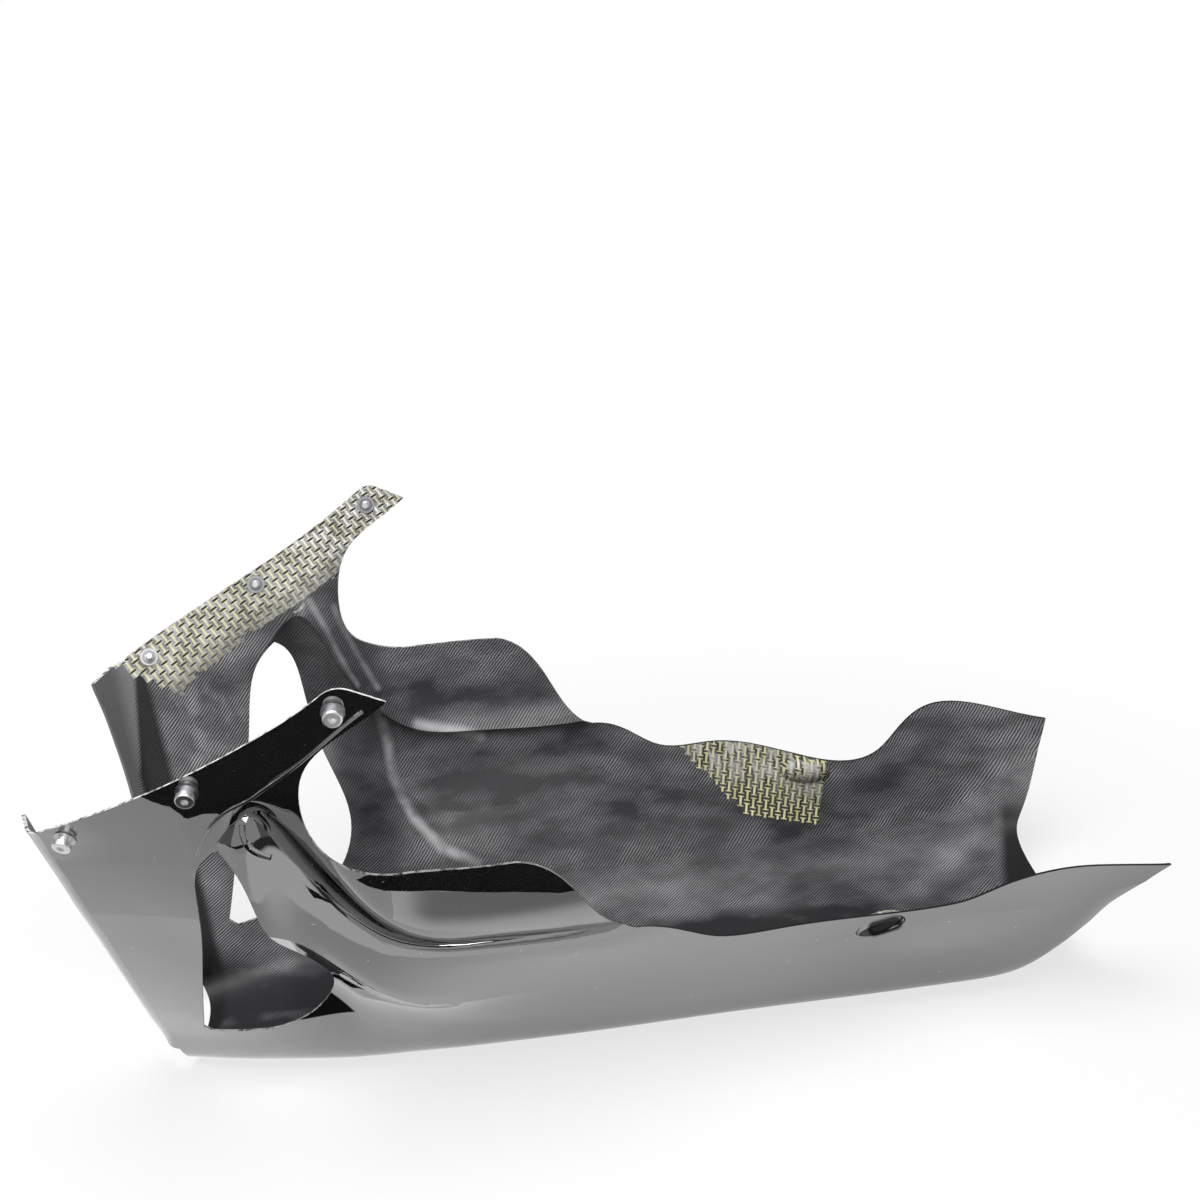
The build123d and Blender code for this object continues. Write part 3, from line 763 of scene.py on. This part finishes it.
# %% Cards
ARM_CARD = [(-0.34, 0.2), (-0.298, 0.19), (-0.283, 0.187), (-0.262, 0.186), (-0.25, 0.1885), (-0.24, 0.187),
            (-0.232, 0.183), (-0.225, 0.178), (-0.19, 0.178), (-0.19, 0.24), (-0.13, 0.29), (-0.13, 0.35),
            (-0.34, 0.35)]
SHELF_CARD = [(-0.18, 0.188), (-0.158, 0.192), (-0.135, 0.193), (-0.115, 0.1925), (-0.09, 0.19),
              (-0.07, 0.187), (-0.05, 0.181), (-0.033, 0.175), (-0.033, 0.192), (-0.045, 0.206),
              (-0.06, 0.217), (-0.08, 0.221), (-0.105, 0.2145), (-0.13, 0.2095), (-0.16, 0.2075),
              (-0.172, 0.198)]
GREY_CARD = [(-0.155, 0.172), (-0.12, 0.172), (-0.08, 0.168), (-0.03, 0.164), (-0.02, 0.168), (-0.03, 0.2),
             (-0.06, 0.21), (-0.155, 0.212)]
WALL_CARD = [(-4, 0), (0.9, 0), (1.5, 0.3), (3, 0.3), (3, 3.5), (-4, 3.5)]      # x and z
ARM_CARD_AT, SHELF_CARD_AT, GREY_CARD_AT = 0.24, 0.18, 0.15                     # heights
WALL_AT = -2.5                                                                  # y


def card(name, corners, strength):
    """A flat card that shows in reflections only, dark or glowing."""
    bpy.ops.mesh.primitive_circle_add(vertices=len(corners), fill_type="NGON")
    sheet = bpy.context.active_object
    sheet.name = name
    for corner, at in zip(sheet.data.vertices, corners):
        corner.co = at
    sheet.visible_camera = False
    sheet.visible_diffuse = False
    sheet.visible_shadow = False
    paint, paint_tree, paint_shader = new_material(name)
    paint_shader.inputs["Base Color"].default_value = (0.01, 0.01, 0.01, 1)
    paint_shader.inputs["Roughness"].default_value = 1
    paint_shader.inputs["Specular IOR Level"].default_value = 0
    paint_shader.inputs["Emission Color"].default_value = (1, 1, 1, 1)
    paint_shader.inputs["Emission Strength"].default_value = strength
    sheet.data.materials.append(paint)
    print("card", name)
    return paint_tree, paint_shader


greys = []
for side, sign in (("left", -1), ("right", 1)):
    card("arm_card_" + side, [(x_at, sign * y_at, ARM_CARD_AT) for x_at, y_at in ARM_CARD], 0)
    card("shelf_card_" + side, [(x_at, sign * y_at, SHELF_CARD_AT) for x_at, y_at in SHELF_CARD], 0)
    grey_corners = [(x_at, sign * y_at, GREY_CARD_AT) for x_at, y_at in GREY_CARD]
    greys.append(card("grey_card_" + side, grey_corners, 0))
card("wall_card", [(x_at, WALL_AT, z_at) for x_at, z_at in WALL_CARD], 0.6)

# %% [markdown]
# A card with one brightness would show its outline on the shelf. The grey cards are therefore as bright as the
# floor around them at their inner and front edges, and darken from there.

# %% Brightness of the grey cards
GREY_EDGE, GREY_CORE = 0.85, 0.33

for grey, grey_shader in greys:
    grey_x, grey_y, _, _ = place(grey)
    core = calc(grey, "MULTIPLY", fade(grey, grey_x, -155, -120),
                fade(grey, calc(grey, "ABSOLUTE", grey_y), 168, 192))
    grey.links.new(fade(grey, core, 0, 1, GREY_EDGE, GREY_CORE), grey_shader.inputs["Emission Strength"])
print("grey cards fade from", GREY_EDGE, "to", GREY_CORE)

# %% [markdown]
# One large soft lamp hangs above the pan, a little towards the camera and the nose. It lights the cloth inside
# at a plain level and gives the floor a soft shadow.

# %% Lamp


def soft_box(name, at, aim, size, watts):
    """A large square lamp that looks at a point."""
    bpy.ops.object.light_add(type="AREA", location=at)
    lamp = bpy.context.active_object
    lamp.name = name
    lamp.data.size = size
    lamp.data.energy = watts
    lamp.rotation_mode = "QUATERNION"
    lamp.rotation_quaternion = (Vector(aim) - Vector(at)).to_track_quat("-Z", "Y")
    print("lamp", name, watts, "W")


soft_box("top_light", (-0.3, -0.5, 1.8), (0, 0, 0.1), 1.6, 45)
